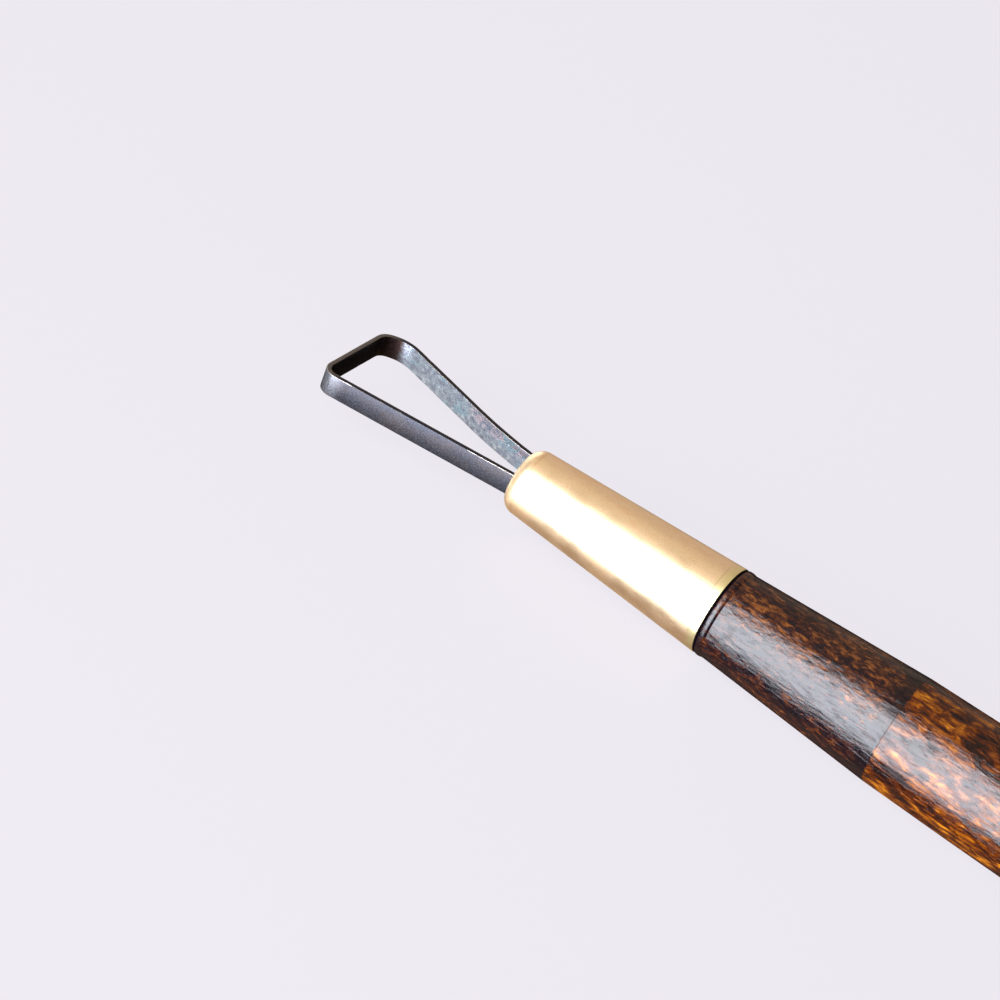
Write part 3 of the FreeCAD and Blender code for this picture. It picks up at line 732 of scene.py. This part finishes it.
def draw_strip(bm, loop):
    """Draw the whole strip. Returns how far along it the middle of each bend lies."""
    corners = strip_corners(loop)
    bm.verts.layers.float.new("along")
    here = corners[0][0]
    face = strip_section(bm, loop, here)
    travelled = 0.0
    middles = []
    for (before, _), (corner, radius), (after, _) in zip(corners, corners[1:], corners[2:]):
        way_in = (corner - before).normalized()
        way_out = (after - corner).normalized()
        turn = -way_in.xy.angle_signed(way_out.xy)
        setback = radius * math.tan(abs(turn) / 2)
        enter = corner - way_in * setback
        face, travelled = draw_straight(bm, face, way_in, (enter - here).length, travelled)
        inward = Vector((-way_in.y, way_in.x, 0.0)) * math.copysign(radius, turn)
        middles.append(travelled + abs(turn) * radius / 2)
        face, travelled = draw_bend(bm, face, enter + inward, turn, radius, travelled)
        here = corner + way_out * setback
    last = corners[-1][0]
    draw_straight(bm, face, (last - here).normalized(), (last - here).length, travelled)
    return middles


def nick_edges(bm, loop):
    """Press small nicks into the strip's upper and lower edges."""
    rim = loop.width / 2 - 1.5 * loop.edge_round
    for vert in bm.verts:
        if abs(vert.co.z) > rim:
            place = vert.co * NICK_FREQUENCY
            depth = max(0.0, noise.noise(place) - NICK_RARITY) * loop.nick_depth
            vert.co.z -= math.copysign(depth, vert.co.z)


class CARVER_OT_cutting_loop(bpy.types.Operator):
    """Bend the steel strip into the cutting loop"""

    bl_idname = "carver.cutting_loop"
    bl_label = "Cutting loop"

    def execute(self, context):
        loop = context.scene.tool_loop
        finish = context.scene.tool_finish
        bm = bmesh.new()
        middles = draw_strip(bm, loop)
        _, near, far, sweep, knee, _ = middles
        marks = {
            "near_leg": near - 9.5 * MM,
            "near": near,
            "far": far,
            "sweep": sweep,
            "knee": knee,
            "far_mouth": knee + loop.knee_reach,
        }
        bmesh.ops.recalc_face_normals(bm, faces=bm.faces[:])
        nick_edges(bm, loop)
        outward = bm.verts.layers.float["outward"]
        for face in bm.faces:
            side = sum(vert[outward] for vert in face.verts) / len(face.verts)
            if side < -FLANK:
                face.material_index = 1
            elif side < FLANK:
                face.material_index = 2
        half = loop.width / 2
        finish_piece(
            "cutting_loop",
            bm,
            blued_outside(finish, half, marks),
            blued_inside(finish, half, marks),
            sheared_edge(finish, marks),
            slot="blued_steel",
            stands_for="ribbon_loop",
        )
        return {"FINISHED"}


def turn_outline(bm, outline):
    """Turn an outline of (place along the axis, radius, rounding) about the axis."""
    corners = [bm.verts.new((along, 0.0, radius)) for along, radius, _ in outline]
    for first, second in zip(corners, corners[1:]):
        bm.edges.new((first, second))
    if outline[0][1] > 0:
        bm.edges.new((corners[-1], corners[0]))
    for corner, (_, _, rounding) in zip(corners, outline):
        if rounding:
            bmesh.ops.bevel(
                bm,
                geom=[corner],
                offset=rounding,
                offset_type="OFFSET",
                segments=ROUNDING_STEPS,
                profile=0.5,
                affect="VERTICES",
                material=-1,
            )
    for edge in bm.edges[:]:
        cuts = int(edge.calc_length() / OUTLINE_STEP)
        if cuts:
            bmesh.ops.subdivide_edges(bm, edges=[edge], cuts=cuts)
    bmesh.ops.spin(
        bm,
        geom=bm.verts[:] + bm.edges[:],
        cent=(0.0, 0.0, 0.0),
        axis=(1.0, 0.0, 0.0),
        angle=2 * math.pi,
        steps=TURNING_STEPS,
        use_merge=True,
    )
    bmesh.ops.remove_doubles(bm, verts=bm.verts[:], dist=MERGE_DISTANCE)
    bmesh.ops.recalc_face_normals(bm, faces=bm.faces[:])


def on_circle(centre, radius, turn):
    """An outline point on a circle, at an angle from the axis."""
    return (centre.x + radius * math.cos(turn), centre.y + radius * math.sin(turn), 0.0)


def arc(centre, radius, start, end, steps):
    """Outline points round part of a circle, from one angle to another."""
    turns = [start + (end - start) * step / steps for step in range(steps + 1)]
    return [on_circle(centre, radius, turn) for turn in turns]


def line_cut(along, radius, taper, depth):
    """A fine V-shaped line cut into a cone that narrows forward at an angle."""
    half = LINE_SPREAD * depth
    fall = half * math.tan(taper)
    return [
        (along - half, radius + fall, 0.0),
        (along, radius - depth, 0.0),
        (along + half, radius - fall, 0.0),
    ]


def cone_radius(ferrule, along, inset):
    """Radius at a place along the ferrule's cone, that far inside its outer face."""
    return RIM_RADIUS - inset / math.cos(ferrule.taper) - math.tan(ferrule.taper) * (along - RIM)


def nose_centre(ferrule):
    """Centre of the nose's round: its outer face runs on from the cone and ends at the lip."""
    lip = Vector((LIP, ferrule.mouth_radius))
    inside = [
        Vector((along, cone_radius(ferrule, along, ferrule.nose_radius))) for along in (RIM, LIP)
    ]
    found = intersect_line_sphere_2d(inside[0], inside[1], lip, ferrule.nose_radius, False)
    return min((point for point in found if point is not None), key=lambda point: point.x)


class CARVER_OT_ferrule(bpy.types.Operator):
    """Turn the brass ferrule, open at its rim and at its nose"""

    bl_idname = "carver.ferrule"
    bl_label = "Brass ferrule"

    def execute(self, context):
        ferrule = context.scene.tool_ferrule
        centre = nose_centre(ferrule)
        upright = math.pi / 2 - ferrule.taper
        outer = ferrule.nose_radius
        inner = outer - ferrule.wall
        across = ferrule.mouth_radius - centre.y
        lip_turn = math.asin(across / outer)
        line_turn = lip_turn + ferrule.lip_line / outer
        half_line = LINE_SPREAD * ferrule.line_depth / outer
        hem = RIM + ferrule.hem
        outline = [
            (RIM, RIM_RADIUS, ferrule.rim_round),
            *line_cut(hem, cone_radius(ferrule, hem, 0.0), ferrule.taper, ferrule.line_depth),
            *arc(centre, outer, upright, line_turn + half_line, 12),
            on_circle(centre, outer - ferrule.line_depth, line_turn),
            *arc(centre, outer, line_turn - half_line, lip_turn + half_line, 3),
            (LIP, ferrule.mouth_radius, ferrule.inner_round),
            *arc(centre, inner, math.asin(across / inner), upright, 6),
            (RIM, cone_radius(ferrule, RIM, ferrule.wall), ferrule.inner_round),
        ]
        bm = bmesh.new()
        turn_outline(bm, outline)
        finish_piece(
            "brass_ferrule",
            bm,
            satin_brass(context.scene.tool_finish),
            slot="ferrule_brass",
            stands_for="ferrule",
        )
        return {"FINISHED"}


class CARVER_OT_handle(bpy.types.Operator):
    """Turn the wooden handle with its crease, its bead and its tenon"""

    bl_idname = "carver.handle"
    bl_label = "Turned handle"

    def execute(self, context):
        handle = context.scene.tool_handle
        ferrule = context.scene.tool_ferrule
        grip = handle.grip_length / 2
        shoulder = RIM - handle.shoulder_gap
        crease = shoulder - handle.crease_setback
        bead = shoulder - handle.bead_width / 2
        shoulder_radius = RIM_RADIUS - handle.nose_inset
        nose_slope = (handle.crease_radius - shoulder_radius) / (shoulder - crease)
        clear = ferrule.wall + handle.tenon_clear
        socket = TENON_FRONT - handle.socket_depth

        # The bead is a round whose chord is its width.
        half = handle.bead_width / 2
        bead_radius = (half**2 + handle.bead_height**2) / (2 * handle.bead_height)
        spread = math.asin(half / bead_radius)
        bead_centre = Vector((bead, shoulder_radius + handle.bead_height - bead_radius))
        outline = [
            (BUTT, 0.0, 0.0),
            (BUTT, handle.butt_radius, handle.butt_round),
            (-grip - handle.back_taper, handle.back_radius, handle.grip_blend),
            (-grip, GRIP_RADIUS, handle.grip_blend),
            (grip, GRIP_RADIUS, handle.grip_blend),
            (grip + handle.front_taper, handle.front_radius, handle.front_blend),
            *line_cut(crease, handle.crease_radius, math.atan(nose_slope), handle.crease_depth),
            *arc(bead_centre, bead_radius, math.pi / 2 + spread, math.pi / 2 - spread, 10),
            (shoulder, cone_radius(ferrule, shoulder, clear), 0.0),
            (TENON_FRONT, cone_radius(ferrule, TENON_FRONT, clear), 0.0),
            (TENON_FRONT, handle.socket_radius, 0.0),
            (socket, handle.socket_radius, 0.0),
            (socket, 0.0, 0.0),
        ]
        bm = bmesh.new()
        turn_outline(bm, outline)
        finish_piece(
            "turned_handle",
            bm,
            lacquered_wood(context.scene.tool_finish, crease, shoulder, handle.bead_width),
            slot="lacquered_wood",
            stands_for="handle",
        )
        return {"FINISHED"}


class CARVER_OT_setting(bpy.types.Operator):
    """Finish the resin in the ferrule's mouth and the wedge between the tangs"""

    bl_idname = "carver.setting"
    bl_label = "Resin and wedge"

    def execute(self, context):
        finish = context.scene.tool_finish
        for name, material in (
            ("resin_fill", cast_resin(finish)),
            ("tang_wedge", bare_hardwood(finish)),
        ):
            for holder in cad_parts[name].material_slots:
                holder.material = material
        return {"FINISHED"}


def softbox(name, aim, way, distance, width, height, brightness, tone=(1.0, 1.0, 1.0)):
    """A soft rectangular light, seen from the aim point in a direction, facing it."""
    way = Vector(way).normalized()
    light = bpy.data.lights.new(name, "AREA")
    light.shape = "RECTANGLE"
    light.size = width
    light.size_y = height
    light.energy = brightness * math.pi * width * height
    light.color = tone
    lamp = bpy.data.objects.new(name, light)
    lamp.location = Vector(aim) + way * distance
    lamp.rotation_mode = "QUATERNION"
    lamp.rotation_quaternion = way.to_track_quat("Z", "Y")
    lamp.visible_camera = False
    bpy.context.scene.collection.objects.link(lamp)


def place_camera(stage):
    """Stand the camera at its bearing, height and roll, looking at a point near the lip."""
    aim = Vector((LIP - stage.aim_behind_lip, stage.aim_side, 0.0))
    level = math.cos(stage.elevation)
    back = Vector(
        (
            math.sin(stage.azimuth) * level,
            -math.cos(stage.azimuth) * level,
            math.sin(stage.elevation),
        )
    )
    lens = bpy.data.cameras.new("camera")
    lens.lens = stage.lens
    lens.clip_start = 10 * MM
    camera = bpy.data.objects.new("camera", lens)
    camera.location = aim + back * stage.distance
    camera.rotation_mode = "QUATERNION"
    roll = Quaternion((0.0, 0.0, 1.0), stage.roll)
    camera.rotation_quaternion = back.to_track_quat("Z", "Y") @ roll
    bpy.context.scene.collection.objects.link(camera)
    bpy.context.scene.camera = camera


def light_surround(stage):
    """Dim light from all round, with a pale backdrop wherever the floor ends."""
    world = bpy.data.worlds.new("surround")
    world.use_nodes = True
    tree = world.node_tree
    dim = tree.nodes["Background"]
    dim.inputs["Color"].default_value = stage.surround
    backdrop = add_node(tree, "ShaderNodeBackground", {"Color": stage.floor_colour})
    seen = add_node(tree, "ShaderNodeLightPath").outputs["Is Camera Ray"]
    inputs = {0: seen, 1: dim.outputs[0], 2: backdrop.outputs[0]}
    either = add_node(tree, "ShaderNodeMixShader", inputs).outputs[0]
    tree.links.new(either, tree.nodes["World Output"].inputs["Surface"])
    bpy.context.scene.world = world


class CARVER_OT_stage(bpy.types.Operator):
    """Lay the floor, set the lights and stand the camera"""

    bl_idname = "carver.stage"
    bl_label = "Floor, light and camera"

    def execute(self, context):
        stage = context.scene.tool_stage
        bm = bmesh.new()
        lay = Matrix.Translation((0.0, 0.0, TABLE))
        half = stage.floor_size / 2
        bmesh.ops.create_grid(bm, x_segments=1, y_segments=1, size=half, matrix=lay)
        mesh = bpy.data.meshes.new("floor")
        bm.to_mesh(mesh)
        bm.free()
        mesh.materials.append(pale_floor(stage))
        floor = bpy.data.objects.new("floor", mesh)
        context.scene.collection.objects.link(floor)

        # The floor is left out of reflections and casts no shadow, so light from below gets through.
        floor.visible_glossy = False
        floor.visible_shadow = False

        ahead = (210 * MM, 0.0, 0.0)
        nose = (95 * MM, 0.0, 0.0)
        loop = (LIP + 12 * MM, 0.0, 0.0)
        softbox("tall_key", ahead, (0.0, 0.97, 0.25), 0.5, 0.32, 0.82, 24.0, (0.88, 0.915, 1.0))
        softbox("overhead", nose, (0.25, 0.1, 0.96), 0.6, 1.0, 0.8, 0.72, (1.0, 0.84, 0.64))
        softbox("side_low", loop, (0.75, 0.33, -0.57), 0.6, 0.5, 0.45, 1.0)
        softbox("front", nose, (0.9, -0.36, 0.04), 0.6, 1.0, 0.6, 1.1)
        softbox("under", nose, (0.0, 0.0, -1.0), 0.4, 0.7, 0.7, 0.32, (1.0, 0.66, 0.42))
        softbox("back_fill", nose, (0.35, -0.88, 0.32), 0.6, 0.9, 0.8, 0.55, (1.0, 0.78, 0.62))

        light_surround(stage)
        place_camera(stage)
        context.scene.view_settings.view_transform = "Standard"
        return {"FINISHED"}


class CARVER_PT_tool(bpy.types.Panel):
    """Sizes, finishes and building steps of the carving tool"""

    bl_idname = "CARVER_PT_tool"
    bl_label = "Carving tool"
    bl_space_type = "VIEW_3D"
    bl_region_type = "UI"
    bl_category = "Carving tool"

    def draw(self, context):
        for operator in OPERATORS:
            self.layout.operator(operator.bl_idname)
        for name, group in SETTINGS.items():
            box = self.layout.box()
            box.label(text=group.__doc__)
            for setting in group.__annotations__:
                box.prop(getattr(context.scene, name), setting)


OPERATORS = (
    CARVER_OT_cutting_loop,
    CARVER_OT_ferrule,
    CARVER_OT_handle,
    CARVER_OT_setting,
    CARVER_OT_stage,
)


def register():
    for group in (*SETTINGS.values(), *OPERATORS, CARVER_PT_tool):
        bpy.utils.register_class(group)
    for name, group in SETTINGS.items():
        setattr(bpy.types.Scene, name, PointerProperty(type=group))


def unregister():
    for name in SETTINGS:
        delattr(bpy.types.Scene, name)
    for group in (CARVER_PT_tool, *reversed(OPERATORS), *reversed(SETTINGS.values())):
        bpy.utils.unregister_class(group)


def main():
    """Build the tool and its stage."""
    register()
    bpy.ops.carver.cutting_loop()
    bpy.ops.carver.ferrule()
    bpy.ops.carver.handle()
    bpy.ops.carver.setting()
    bpy.ops.carver.stage()


if __name__ == "__main__":
    main()
